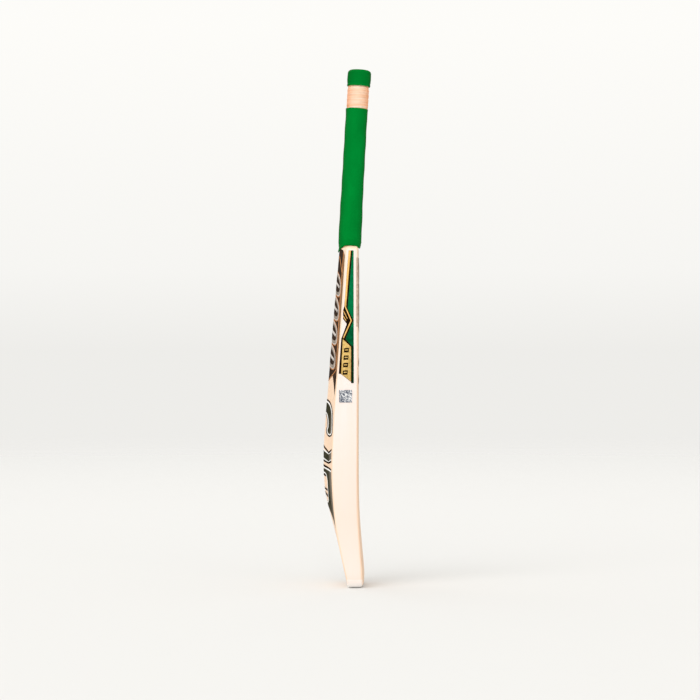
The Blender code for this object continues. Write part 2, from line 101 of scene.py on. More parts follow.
class Finish:
    """A node material: a Principled shader, and short calls that add nodes and link them."""

    def __init__(self, name, colour=None, **constants):
        self.material = bpy.data.materials.new(name)
        self.material.use_nodes = True
        self.tree = self.material.node_tree
        self.shader = self.tree.nodes["Principled BSDF"]
        self.place = self.add("ShaderNodeTexCoord")
        if colour:
            self.shader.inputs["Base Color"].default_value = (*colour, 1.0)
        for socket, value in constants.items():
            self.shader.inputs[socket.replace("_", " ")].default_value = value

    def add(self, kind, settings=None, **inputs):
        """A node with its settings, and its sockets set to a value or linked to another node's output. i0, i1
        and so on name a socket by its number."""
        node = self.tree.nodes.new(kind)
        for key, value in (settings or {}).items():
            setattr(node, key, value)
        for key, value in inputs.items():
            numbered = key[0] == "i" and key[1:].isdigit()
            socket = node.inputs[int(key[1:])] if numbered else node.inputs[key]
            if isinstance(value, bpy.types.NodeSocket):
                self.tree.links.new(value, socket)
            else:
                socket.default_value = value
        return node

    def stretched(self, scale):
        """The object's own coordinates, in metres, multiplied along each axis."""
        return self.add("ShaderNodeMapping", i0=self.place.outputs["Object"], i3=scale).outputs[0]

    def split(self, source):
        """The X, Y and Z of the object's own coordinates ("Object") or of the surface's way ("Normal")."""
        return self.add("ShaderNodeSeparateXYZ", Vector=self.place.outputs[source]).outputs

    def noise(self, scale, detail=2.0, roughness=0.5):
        """Noise with about scale patches to the metre along each axis."""
        node = self.add("ShaderNodeTexNoise", Vector=self.stretched(scale), Scale=1.0, Detail=detail,
                        Roughness=roughness)
        return node.outputs["Fac"]

    def math(self, operation, a, b=0.0, c=0.0, clamp=False):
        settings = {"operation": operation, "use_clamp": clamp}
        return self.add("ShaderNodeMath", settings, i0=a, i1=b, i2=c).outputs[0]

    def ramp(self, value, *stops):
        """Colours or greys along a value: each stop is (position, colour)."""
        node = self.add("ShaderNodeValToRGB", Fac=value)
        set_stops(node.color_ramp, stops)
        return node.outputs["Color"]

    def mix(self, share, a, b):
        """Colour a, with that share of it replaced by colour b."""
        node = self.add("ShaderNodeMix", {"data_type": "RGBA"})
        for index, value in ((0, share), (6, a), (7, b)):
            if isinstance(value, bpy.types.NodeSocket):
                self.tree.links.new(value, node.inputs[index])
            elif isinstance(value, tuple):
                node.inputs[index].default_value = (*value, 1.0)
            else:
                node.inputs[index].default_value = value
        return node.outputs[2]

    def fore_and_aft(self, power):
        """1 where the surface looks along the bat's face or back, and less the more it turns to a side.
        Materials use it to place painted shade and painted light.
        """
        return self.math("POWER", self.math("ABSOLUTE", self.split("Normal")["Y"]), power)

    def colour(self, output):
        """Links the base colour."""
        self.tree.links.new(output, self.shader.inputs["Base Color"])

    def roughness(self, value, low, high):
        """Roughness from low to high as the value goes from 0 to 1."""
        spread = self.math("MULTIPLY_ADD", value, high - low, low)
        self.tree.links.new(spread, self.shader.inputs["Roughness"])

    def bump(self, height, distance):
        """Small relief: height goes from 0 to 1, and distance is its depth in metres."""
        node = self.add("ShaderNodeBump", Height=height, Distance=distance, Strength=1.0)
        self.tree.links.new(node.outputs["Normal"], self.shader.inputs["Normal"])


def willow():
    """Pressed willow: rings, streaks and fine fibres along the blade, painted shade that darkens the face,
    and painted light that makes the flat edges paler.
    """
    finish = Finish("willow", Specular_IOR_Level=0.35)
    rings = finish.add("ShaderNodeTexWave", {"bands_direction": "X", "wave_profile": "SAW"},
                       Vector=finish.stretched((1, 0.25, 0.05)), Scale=27.0, Distortion=1.1, Detail=2.0,
                       **{"Detail Scale": 0.9})
    ring = finish.ramp(rings.outputs["Fac"], (0.0, 0.0), (0.72, 0.18), (0.93, 1.0), (1.0, 0.0))
    streaks = finish.noise((75, 75, 4.5), detail=4.0, roughness=0.6)
    clouds = finish.noise((9, 9, 3.0), detail=2.0)
    fibres = finish.noise((1500, 1500, 45), detail=3.0, roughness=0.65)
    wood = finish.ramp(streaks, (0.28, (0.905, 0.640, 0.440)), (0.52, (0.955, 0.710, 0.520)),
                       (0.78, (0.965, 0.770, 0.600)))
    wood = finish.mix(finish.math("MULTIPLY", clouds, 0.35), wood, (0.930, 0.660, 0.450))
    wood = finish.mix(finish.math("MULTIPLY", ring, 0.30), wood, (0.700, 0.400, 0.215))
    wood = finish.mix(finish.math("MULTIPLY", fibres, 0.16), wood, (0.800, 0.520, 0.330))
    facing = finish.split("Normal")
    # Painted shade: where the surface looks along -Y, on the playing face, the wood is mixed towards a darker
    # brown.
    face = finish.math("MULTIPLY", facing["Y"], -0.30, clamp=True)
    wood = finish.mix(face, wood, (0.640, 0.380, 0.220))
    # Painted light: where the surface looks along X, on the flat edges, the wood turns to a pale cream that
    # carries the streaks. That cream changes with height: most orange near 0.12 m and palest towards the
    # shoulders.
    height = finish.split("Object")["Z"]
    pale = finish.ramp(height, (0.02, (0.870, 0.735, 0.675)), (0.12, (0.870, 0.695, 0.620)),
                       (0.28, (0.870, 0.765, 0.725)), (0.50, (0.870, 0.800, 0.785)))
    drawn = finish.ramp(streaks, (0.36, 0.0), (0.64, 0.55))
    pale = finish.mix(drawn, pale, (0.860, 0.700, 0.600))
    side = finish.math("POWER", finish.math("ABSOLUTE", facing["X"]), 9.0)
    wood = finish.mix(finish.math("MULTIPLY", side, 0.92), wood, pale)
    finish.colour(wood)
    finish.roughness(streaks, 0.40, 0.56)
    finish.bump(finish.math("ADD", finish.math("MULTIPLY", ring, 0.6), fibres), 0.00006)
    return finish.material


def cane():
    """Cane: straight tan fibres along the handle, with dark pores."""
    finish = Finish("cane", Specular_IOR_Level=0.35)
    fibres = finish.noise((900, 900, 18), detail=4.0, roughness=0.6)
    pores = finish.noise((2300, 2300, 60), detail=1.0)
    tan = finish.ramp(fibres, (0.30, (0.600, 0.400, 0.190)), (0.55, (0.800, 0.600, 0.330)),
                      (0.80, (0.880, 0.720, 0.460)))
    tan = finish.mix(finish.ramp(pores, (0.62, 0.0), (0.72, 0.7)), tan, (0.320, 0.180, 0.080))
    finish.colour(tan)
    finish.roughness(fibres, 0.45, 0.65)
    finish.bump(fibres, 0.00008)
    return finish.material


def rubber(name, light, dark, painted_shade=None, gloss=(1.0, 1.0, 1.0), grain=900.0):
    """Moulded rubber: grain pips to the metre, a soft bloom in its colour and a matt surface. The colour
    after dark, where one is given, is painted shade fore and aft, at the rims seen from the bat's edge; gloss
    is the tint of its reflections."""
    finish = Finish(name, Specular_IOR_Level=0.02, Specular_Tint=(*gloss, 1.0))
    pips = finish.add("ShaderNodeTexVoronoi", {"feature": "SMOOTH_F1"},
                      Vector=finish.place.outputs["Object"], Scale=grain, Smoothness=0.6).outputs["Distance"]
    bloom = finish.noise((40, 40, 22), detail=3.0)
    tone = finish.mix(finish.ramp(bloom, (0.35, 0.0), (0.70, 1.0)), dark, light)
    # Painted shade: where the rubber looks fore and aft, at its rims as seen from the bat's edge, it takes
    # the darker colour.
    if painted_shade:
        tone = finish.mix(finish.fore_and_aft(6.0), tone, painted_shade)
    finish.colour(tone)
    finish.roughness(bloom, 0.46, 0.62)
    finish.bump(finish.math("SUBTRACT", 1.0, pips), 0.00004)
    return finish.material


def clear_rubber():
    """A clear toe guard in the colours of the willow under it, with painted light paling its flat sides, and
    whiter towards the sole: milky rubber there, and painted light from the floor.
    """
    finish = Finish("toe_rubber", Specular_IOR_Level=0.30)
    haze = finish.noise((30, 30, 60), detail=2.0)
    wood = finish.mix(haze, (0.930, 0.700, 0.510), (0.950, 0.740, 0.570))
    # Painted light: the sides, which look along X, take the paler colour, as on the willow's flat edges.
    pale = finish.mix(haze, (0.920, 0.795, 0.730), (0.940, 0.835, 0.770))
    wood = finish.mix(finish.fore_and_aft(2.0), pale, wood)
    # Whiter towards the sole, over the lowest 12 mm: partly milky thick rubber, partly painted light from the
    # pale floor against the shade where the toe meets it.
    sole_milk_and_floor_light = finish.math("MULTIPLY_ADD", finish.split("Object")["Z"], -85.0, 1.0, clamp=True)
    finish.colour(finish.mix(sole_milk_and_floor_light, wood, (0.995, 0.985, 0.960)))
    finish.roughness(haze, 0.30, 0.42)
    pips = finish.noise((900, 900, 900), detail=1.0)
    finish.bump(pips, 0.00001)
    return finish.material


def twine():
    """Waxed linen thread: peach, with hairs across each turn, some turns darker than others, and painted
    shade in a deeper orange fore and aft.
    """
    finish = Finish("twine", Specular_IOR_Level=0.15)
    turns = finish.noise((8, 8, 260), detail=2.0)
    hairs = finish.noise((1600, 1600, 3200), detail=2.0, roughness=0.7)
    thread = finish.ramp(turns, (0.34, (0.930, 0.560, 0.340)), (0.50, (0.975, 0.725, 0.545)),
                         (0.66, (0.985, 0.825, 0.690)))
    thread = finish.mix(finish.math("MULTIPLY", hairs, 0.25), thread, (0.860, 0.550, 0.350))
    # Painted shade: where the thread looks fore and aft, at its rims as seen from the bat's edge, it turns a
    # deeper orange.
    finish.colour(finish.mix(finish.fore_and_aft(2.4), thread, (0.930, 0.345, 0.125)))
    finish.roughness(hairs, 0.60, 0.85)
    finish.bump(hairs, 0.00010)
    return finish.material


def printed(name, colour, second, fade=None):
    """Printed vinyl: a matt ink mottled in two colours. fade is a paler colour the ink takes towards the
    blade's edges, a painted highlight for the sheen on their rounding, and towards the toe below about 0.14
    m.
    """
    finish = Finish(name, Specular_IOR_Level=0.0)
    mottle = finish.noise((260, 260, 190), detail=3.0, roughness=0.6)
    ink = finish.mix(finish.ramp(mottle, (0.40, 0.0), (0.66, 1.0)), colour, second)
    if fade:
        # Painted highlight: past about 29 mm from the spine the ink turns paler, fully at 47 mm, for sheen on
        # the rounded edges. It also turns paler from 0.14 m down to 0.065 m.
        spot = finish.split("Object")
        near = finish.math("MULTIPLY_ADD", finish.math("ABSOLUTE", spot["X"]), 55.0, -1.6, clamp=True)
        low = finish.math("MULTIPLY_ADD", spot["Z"], -13.0, 1.85, clamp=True)
        ink = finish.mix(finish.math("MAXIMUM", near, low), ink, fade)
    finish.colour(ink)
    finish.roughness(mottle, 0.40, 0.55)
    orange_peel = finish.noise((700, 700, 700), detail=1.0)
    finish.bump(orange_peel, 0.00001)
    return finish.material


def foil():
    """Diffraction foil: curled patches of silver, white and slate."""
    finish = Finish("foil", Metallic=0.35, Specular_IOR_Level=0.3)
    curls = finish.add("ShaderNodeTexNoise", Vector=finish.stretched((1, 1, 1)), Scale=190.0, Detail=2.0,
                       Roughness=0.60, Distortion=2.4).outputs["Fac"]
    silver = finish.ramp(curls, (0.42, (0.100, 0.115, 0.150)), (0.48, (0.270, 0.285, 0.320)),
                         (0.54, (0.430, 0.440, 0.465)), (0.61, (0.880, 0.880, 0.880)))
    finish.colour(silver)
    finish.roughness(curls, 0.35, 0.50)
    finish.bump(curls, 0.00003)
    return finish.material


WILLOW = willow()
CANE = cane()
# Reflections on the green rubber keep its hue, or its lit side would look grey.
GREEN_GLOSS = (0.02, 0.90, 0.30)
# The third colour of each green rubber is its painted shade fore and aft.
GRIP = rubber("grip_rubber", (0.0003, 0.2200, 0.0290), (0.0003, 0.1800, 0.0230), (0.0002, 0.1150, 0.0130),
              GREEN_GLOSS)
BAND = rubber("band_rubber", (0.0003, 0.1900, 0.0250), (0.0003, 0.1550, 0.0190), (0.0002, 0.0950, 0.0100),
              GREEN_GLOSS)
INSERT = rubber("insert_rubber", (0.030, 0.028, 0.026), (0.018, 0.017, 0.016), grain=1500.0)
TOE = clear_rubber()
TWINE = twine()
CHARCOAL = printed("charcoal_print", (0.0330, 0.0200, 0.0140), (0.0620, 0.0400, 0.0290))
BROWN = printed("brown_print", (0.2400, 0.1250, 0.0600), (0.3300, 0.1850, 0.0980))
TAN = printed("tan_print", (0.4200, 0.3050, 0.2220), (0.6600, 0.4950, 0.3800))
# The olive print's fade colour is a painted highlight near the blade's edges, and a paler tone towards the
# toe.
OLIVE = printed("olive_print", (0.0320, 0.0320, 0.0170), (0.0640, 0.0590, 0.0380),
                fade=(0.2500, 0.2150, 0.1750))
COPPER = printed("copper_print", (0.5200, 0.2150, 0.0800), (0.6200, 0.3000, 0.1350))
SILVER = printed("silver_print", (0.2700, 0.2250, 0.1850), (0.4300, 0.3750, 0.3200))
PALE_SILVER = printed("pale_silver_print", (0.5600, 0.5100, 0.4700), (0.7400, 0.7000, 0.6600))
WHITE = printed("white_print", (0.9200, 0.9000, 0.8700), (0.9200, 0.9000, 0.8700))
GREEN = printed("green_print", (0.0015, 0.1350, 0.0420), (0.0020, 0.1750, 0.0600))
DEEP_GREEN = printed("deep_green_print", (0.0015, 0.0700, 0.0220), (0.0020, 0.1100, 0.0380))
DARK_GREEN = printed("dark_green_print", (0.0010, 0.0250, 0.0070), (0.0010, 0.0380, 0.0130))
GOLD = printed("gold_print", (0.8000, 0.4550, 0.1250), (0.8800, 0.5500, 0.1900))
OCHRE = printed("ochre_print", (0.5600, 0.3650, 0.1050), (0.7900, 0.5450, 0.2000))
BLACK = printed("black_print", (0.0100, 0.0035, 0.0012), (0.0180, 0.0080, 0.0030))
FOIL = foil()


# ---------------------------------------------------------------- pieces


def mesh_of(name, bm):
    """A mesh made from a bmesh, which is freed."""
    mesh = bpy.data.meshes.new(name)
    bm.to_mesh(mesh)
    bm.free()
    return mesh


def as_piece(name, mesh, finish, replaced=(), angle=35):
    """An object of the mesh that rides on the bat, smooth except at edges sharper than the angle."""
    mesh.shade_smooth()
    mesh.set_sharp_from_angle(angle=math.radians(angle))
    obj = bpy.data.objects.new(name, mesh)
    bpy.context.scene.collection.objects.link(obj)
    mesh.materials.append(finish)
    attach(obj, "root")
    if replaced:
        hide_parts(*replaced)
    return obj


def merged_mesh(name, node):
    """A CAD node's mesh with its corners joined, so that it can be shaded smooth."""
    bm = bmesh.new()
    source = NODES[node].data
    corners = [bm.verts.new(v.co) for v in source.vertices]
    for polygon in source.polygons:
        bm.faces.new([corners[i] for i in polygon.vertices])
    bmesh.ops.remove_doubles(bm, verts=bm.verts, dist=2e-5)
    bmesh.ops.dissolve_degenerate(bm, dist=1e-6, edges=bm.edges)
    bmesh.ops.recalc_face_normals(bm, faces=bm.faces)
    return mesh_of(name, bm)


def polished(node, finish, angle=35):
    """A smooth-shaded copy that stands for a CAD node."""
    name = f"{node}_surface"
    as_piece(name, merged_mesh(name, node), finish, (node,), angle)


def tube_of_rings(bm, rings, closed_profile=False):
    """Faces between rings of points, each ring closed. closed_profile joins the last ring to the first."""
    loops = [[bm.verts.new(p) for p in ring] for ring in rings]
    pairs = list(zip(loops, loops[1:]))
    if closed_profile:
        pairs.append((loops[-1], loops[0]))
    for low, high in pairs:
        for i in range(len(low)):
            j = (i + 1) % len(low)
            bm.faces.new((low[i], low[j], high[j], high[i]))


def on_handle(radius, angle, height):
    """A point round the handle: an oval of that radius, at a height along the leaning axis."""
    point = Vector((HANDLE_OVAL * radius * math.cos(angle), radius * math.sin(angle), height))
    return HANDLE_START + Matrix.Rotation(HANDLE_LEAN, 3, "X") @ point


def turned_piece(name, profile, finish, replaced, sides=112):
    """Turns a closed profile round the handle. profile(a) gives (radius, height) points at the angle a."""
    bm = bmesh.new()
    angles = [2 * math.pi * i / sides for i in range(sides)]
    columns = [profile(a) for a in angles]
    rings = [[on_handle(column[k][0], a, column[k][1]) for a, column in zip(angles, columns)]
             for k in range(len(columns[0]))]
    tube_of_rings(bm, rings, closed_profile=True)
    bmesh.ops.recalc_face_normals(bm, faces=bm.faces)
    as_piece(name, mesh_of(name, bm), finish, replaced, angle=40)


def radius_at(node, h, angle):
    """A CAD sleeve's outer radius at a height along the handle, found by a ray from outside to the axis."""
    any_radius, outside = 0.03, 0.05
    axis = on_handle(0.0, 0.0, h)
    out = (on_handle(any_radius, angle, h) - axis).normalized()
    hit = TREES[node].ray_cast(axis + out * outside, -out)[0]
    reach = (hit - axis).length
    return reach / math.hypot(HANDLE_OVAL * math.cos(angle), math.sin(angle))


def tree_of(*nodes):
    """A tree of the CAD nodes' faces, for finding points on them."""
    points, faces = [], []
    for node in nodes:
        mesh = NODES[node].data
        start = len(points)
        points += [v.co.copy() for v in mesh.vertices]
        faces += [[start + i for i in polygon.vertices] for polygon in mesh.polygons]
    return BVHTree.FromPolygons(points, faces)


# ---------------------------------------------------------------- labels


def stroke(points, width):
    """The outline of a line of that width through (across, height) points, with mitred corners."""
    path = [Vector(p) for p in points]
    ways = [(b - a).normalized() for a, b in zip(path, path[1:])]
    left, right = [], []
    for i, point in enumerate(path):
        before = ways[max(i - 1, 0)]
        after = ways[min(i, len(ways) - 1)]
        side = Vector((-before.y, before.x)) + Vector((-after.y, after.x))
        side = side.normalized() / max(side.length / 2, MITRE_LIMIT)
        left.append(tuple(point + side * width / 2))
        right.append(tuple(point - side * width / 2))
    return left + right[::-1]


def mirrored(outline):
    """The outline's mirror image across the spine."""
    return [(-u, z) for u, z in outline][::-1]


def both(outlines):
    """The outlines and their mirror images across the spine."""
    return list(outlines) + [mirrored(o) for o in outlines]


def oval_ring(middle, outer, inner, sweep, steps=44):
    """The outline of a band between two ovals, from -sweep to sweep degrees off the top. outer and inner are
    the (half width, half height) of the ovals."""
    angles = np.radians(np.linspace(-sweep, sweep, steps))
    outside = [(outer[0] * math.sin(a), middle + outer[1] * math.cos(a)) for a in angles]
    inside = [(inner[0] * math.sin(a), middle + inner[1] * math.cos(a)) for a in angles]
    return outside + inside[::-1]


def oval(centre, half_wide, half_tall, steps=28):
    """The outline of an oval."""
    angles = np.linspace(0, 2 * math.pi, steps, endpoint=False)
    return [(centre[0] + half_wide * math.cos(a), centre[1] + half_tall * math.sin(a)) for a in angles]


def petal(z, half_wide, half_tall, droop, inset=0.0, steps=48):
    """A rounded shape across the spine, at height z, whose ends droop. inset moves its outline inwards."""
    outline = []
    for a in np.linspace(0, 2 * math.pi, steps, endpoint=False):
        across = math.copysign(abs(math.cos(a)) ** PETAL_POWER, math.cos(a))
        up = math.copysign(abs(math.sin(a)) ** PETAL_POWER, math.sin(a))
        u = (half_wide - inset) * across
        outline.append((u, z + (half_tall - inset) * up - droop * abs(u) / half_wide))
    return outline


def flat_print(outlines, grid):
    """The outlines filled with faces, cut along a grid so that they can bend, as (across, 0, height)."""
    bm = bmesh.new()
    for outline in outlines:
        bm.faces.new([bm.verts.new((u, 0.0, z)) for u, z in outline])
    bmesh.ops.remove_doubles(bm, verts=bm.verts, dist=1e-6)
    bmesh.ops.triangulate(bm, faces=bm.faces)
    for axis in (Vector((1, 0, 0)), Vector((0, 0, 1))):
        reach = [v.co.dot(axis) for v in bm.verts]
        for step in range(math.ceil(min(reach) / grid), math.floor(max(reach) / grid) + 1):
            geometry = bm.verts[:] + bm.edges[:] + bm.faces[:]
            plane = axis * step * grid
            bmesh.ops.bisect_plane(bm, geom=geometry, plane_co=plane, plane_no=axis, dist=1e-6)
    return bm


def finish_print(name, bm, outwards, finish, replaced):
    """Makes the faces of a laid print look outwards, and turns it into a thin film."""
    bmesh.ops.recalc_face_normals(bm, faces=bm.faces)
    if sum(f.normal.dot(outwards) for f in bm.faces) < 0:
        bmesh.ops.reverse_faces(bm, faces=bm.faces)
    obj = as_piece(name, mesh_of(name, bm), finish, replaced, angle=50)
    film = obj.modifiers.new("film", "SOLIDIFY")
    film.thickness = FILM_THICKNESS
    film.offset = -1.0


def wood_under(across, height, side):
    """The wood's surface and its normal on the back (side 1) or the face (side -1). Where the ray falls in a
    glue line, the planes of the wood on either side of it stand in."""
    found = {}
    for step in (0.0, -GLUE_STEP, GLUE_STEP):
        start = Vector((across + step, side, height + step))
        spot, normal, _, _ = TREES["wood"].ray_cast(start, Vector((0, -side, 0)))
        if spot is not None:
            found[step] = (spot.y, normal)
    beside = [y * side for step, (y, _) in found.items() if step]
    if 0.0 in found and (len(beside) < 2 or found[0.0][0] * side > min(beside) - GLUE_DEPTH):
        depth, normal = found[0.0]
    else:
        highest = max(y * side for y, _ in found.values())
        near = {step: spot for step, spot in found.items() if spot[0] * side > highest - GLUE_DEPTH}
        depth = sum(y + step * (n.x + n.z) / n.y for step, (y, n) in near.items()) / len(near)
        normal = sum((n for _, n in near.values()), Vector()).normalized()
    return Vector((across, depth, height)), normal


def surface_print(name, outlines, layer, finish, side, replaced=()):
    """Lays outlines on the back (side 1) or the face (side -1), layer print layers above the wood."""
    bm = flat_print(outlines, FILM_GRID)
    lift = LABEL_LIFT + PRINT_LAYER * layer
    for v in bm.verts:
        spot, normal = wood_under(v.co.x, v.co.z, side)
        v.co = spot + normal * lift
    finish_print(name, bm, Vector((0, side, 0)), finish, replaced)


def edge_print(name, outlines, layer, finish, side, replaced=()):
    """Lays outlines of (Y, height) points on the right edge (side 1) or the left edge (side -1)."""
    bm = flat_print(outlines, EDGE_FILM_GRID)
    for v in bm.verts:
        v.co = Vector((side * (EDGE_X + LABEL_LIFT + PRINT_LAYER * layer), v.co.x, v.co.z))
    finish_print(name, bm, Vector((side, 0, 0)), finish, replaced)


def back_print(name, outlines, layer, finish, replaced=()):
    """Lays outlines on the back."""
    surface_print(name, outlines, layer, finish, 1, replaced)


def upper_back_label():
    """The large label under the shoulders: a charcoal field with four rimmed petals, each with a pale chevron
    on it, between brown bands with copper edges."""
    half, knee, tip, crossing = LABEL_HALF, (0.0235, 0.3490), (0.0, 0.3400), (0.0440, 0.3590)
    outer = [(half, 0.5455), (0.0290, 0.5565), (0.0, 0.5600), tip, knee, (half, 0.3165)]
    back_print("back_label_upper_ground", both([outer]), 0, CHARCOAL, ("back_label_upper",))
    inner_edge = [(0.0370, 0.5525), (0.0345, 0.4700), (0.0385, 0.4200), crossing]
    band = [(half - 0.0006, 0.5462)] + inner_edge + [(half - 0.0006, 0.3590)]
    back_print("back_label_upper_band", both([band]), 1, BROWN)
    lines = [stroke(inner_edge, 0.0042), stroke([crossing, tip], 0.0018),
             stroke([crossing, (half - 0.0012, 0.3500)], 0.0014),
             stroke([(0.0080, 0.5475), (0.0160, 0.5395), (0.0240, 0.5307), (0.0350, 0.5190)], 0.0032)]
    back_print("back_label_upper_lines", both(lines), 2, COPPER)
    highest, pitch, half_wide, half_tall, droop = 0.5040, 0.0400, 0.0335, 0.0182, 0.0130
    layers = (("edge", -0.0016, COPPER), ("rim", 0.0, PALE_SILVER), ("ring", 0.0020, SILVER),
              ("core", 0.0064, CHARCOAL))
    for i in range(4):
        z = highest - i * pitch
        for level, (part, inset, finish) in enumerate(layers, 1):
            outline = petal(z, half_wide, half_tall, droop, inset)
            back_print(f"back_petal_{i}_{part}", [outline], level, finish)
        gleam = stroke([(PAST_SPINE, z + 0.0004), (0.0240, z - 0.0090)], 0.0044)
        back_print(f"back_petal_{i}_gleam", both([gleam]), 5, PALE_SILVER)


def back_emblem():
    """A broad arch across the spine whose feet turn inwards: olive with a white rim and a dark outline."""
    middle, sweep, feet = 0.2650, 100, (0.0312, 0.2585)
    # Each layer: its name, the arch's outer and inner oval, the foot's oval, and the ink.
    layers = (("outline", (0.0515, 0.0448), (0.0145, 0.0194), (0.0200, 0.0105), BLACK),
              ("rim", (0.0478, 0.0420), (0.0180, 0.0212), (0.0162, 0.0081), WHITE),
              ("band", (0.0440, 0.0394), (0.0226, 0.0238), (0.0122, 0.0058), OLIVE))
    for level, (part, outer, inner, foot, finish) in enumerate(layers):
        name = f"back_emblem_{part}"
        replaced = ("back_emblem",) if level == 0 else ()
        back_print(name, [oval_ring(middle, outer, inner, sweep)], level, finish, replaced)
        back_print(f"{name}_feet", both([oval(feet, *foot)]), level, finish)


def lower_back_label():
    """Lines and a chevron over the spine, then a dark field round a pale-rimmed window with bars in it."""
    half, fold = LABEL_HALF, 0.0300

    def chevron(spine, valley, edge, thick):
        """A band with the heights of its top at the spine, the fold and the edge."""
        top = [(0.0, spine), (fold, valley), (half, edge)]
        return top + [(u, height - thick) for u, height in top[::-1]]

    lines = [chevron(0.2342, 0.2236, 0.2292, 0.0033), chevron(0.2098, 0.2064, 0.2100, 0.0030),
             stroke([(0.0, 0.2002), (half, 0.1940)], 0.0034)]
    back_print("back_lower_lines", both(lines), 1, BLACK, ("back_label_lower",))
    back_print("back_lower_chevron_rim", both([chevron(0.2272, 0.2212, 0.2264, 0.0178)]), 0, WHITE)
    back_print("back_lower_chevron", both([chevron(0.2248, 0.2190, 0.2240, 0.0116)]), 1, OLIVE)
    taper = [(0.0, 0.1948), (half, 0.1908), (half, 0.0985), (0.0240, 0.1145), (0.0, 0.1330), (0.0, 0.1385),
             (0.0150, 0.1430), (0.0195, 0.1560), (0.0218, 0.1740), (0.0165, 0.1835), (0.0, 0.1860)]
    window = [(PAST_SPINE, 0.1882), (0.0110, 0.1876), (0.0172, 0.1850), (0.0223, 0.1745), (0.0202, 0.1560),
              (0.0158, 0.1420), (0.0100, 0.1393), (PAST_SPINE, 0.1383)]
    back_print("back_lower_taper", both([taper]), 1, OLIVE)
    rim = [stroke([(0.0, 0.1968), (half, 0.1918)], 0.0026), stroke(window, 0.0021)]
    back_print("back_lower_rim", both(rim), 2, WHITE)
    bars = [stroke([(PAST_SPINE, 0.1848), (0.0150, 0.1832)], 0.0028),
            stroke([(PAST_SPINE, 0.1625), (0.0195, 0.1594)], 0.0034),
            stroke([(PAST_SPINE, 0.1548), (0.0172, 0.1492)], 0.0042)]
    back_print("back_lower_bars", both(bars), 2, CHARCOAL)


def edge_label(side, word):
    """The green and gold label on the right edge (side 1) or the left edge (side -1). Its black ground shows
    as lines and borders, and front is its border towards the face."""
    node = f"edge_label_{word}"
    front, top, foot = 0.0012, 0.5546, 0.3372

    def lay(name, outlines, layer, finish, replaced=()):
        edge_print(f"{node}_{name}", outlines, layer, finish, side, replaced)

    ground = [(front, top), (0.0092, top), (0.0123, 0.5181), (0.0150, 0.4799), (0.0166, 0.4625),
              (0.0184, 0.4560), (0.0184, 0.4425), (0.0123, 0.4342), (0.0192, 0.4152), (0.0213, 0.4105),
              (0.0254, 0.3527), (0.0216, 0.3518), (0.0054, 0.3392), (0.0052, foot), (front - 0.0004, foot)]
    lay("ground", [ground], 0, BLACK, (node,))
    strip = [(0.0055, top), (0.0091, top), (0.0122, 0.5181), (0.0149, 0.4799), (0.0163, 0.4632),
             (0.0134, 0.4606), (0.0119, 0.4799), (0.0089, 0.5181)]
    lay("strip", [strip], 1, GOLD)
    green = [(front, top), (0.0030, top), (0.0062, 0.5181), (0.0093, 0.4799), (0.0110, 0.4595),
             (0.0014, 0.4400), (0.0142, 0.4095), (0.0034, 0.3975), (0.0034, foot), (front - 0.0003, foot)]
    lay("field", [green], 1, GREEN)
    ribbon = stroke([(0.0147, 0.4622), (0.0050, 0.4397), (0.0180, 0.4108)], 0.0019)
    lay("ribbon", [ribbon], 2, GOLD)
    shade = [(front + 0.0002, 0.4290), (0.0060, 0.4290), (0.0138, 0.4100), (0.0036, 0.3985),
             (front + 0.0002, 0.3985)]
    lay("shade", [shade], 2, DEEP_GREEN)
    strip_shade = [(front - 0.0003, 0.3985), (0.0034, 0.3985), (0.0034, foot), (front - 0.0003, foot)]
    lay("strip_shade", [strip_shade], 2, DARK_GREEN)
    panel = [(0.0188, 0.4092), (0.0216, 0.3520), (0.0054, 0.3396), (0.0052, 0.3965)]
    lay("panel", [panel], 1, OCHRE)
    gaps = [stroke([(0.0178, 0.4557), (0.0114, 0.4426)], 0.0011),
            stroke([(0.0181, 0.4470), (0.0134, 0.4393)], 0.0011)]
    lay("bar_gaps", gaps, 1, GOLD)
    # Four plain blocks down the gold panel, which leans back, each with a slit across it.
    marks, slits = [], []
    for i in range(4):
        z, back = 0.3945 - i * 0.0122, 0.0165 + i * 0.0007
        marks.append([(back - 0.0080, z + 0.0004), (back, z), (back + 0.0006, z - 0.0072),
                      (back - 0.0074, z - 0.0068)])
        slits.append(stroke([(back - 0.0064, z - 0.0030), (back - 0.0014, z - 0.0032)], 0.0019))
    lay("marks", marks, 2, BLACK)
    lay("mark_slits", slits, 3, OCHRE)


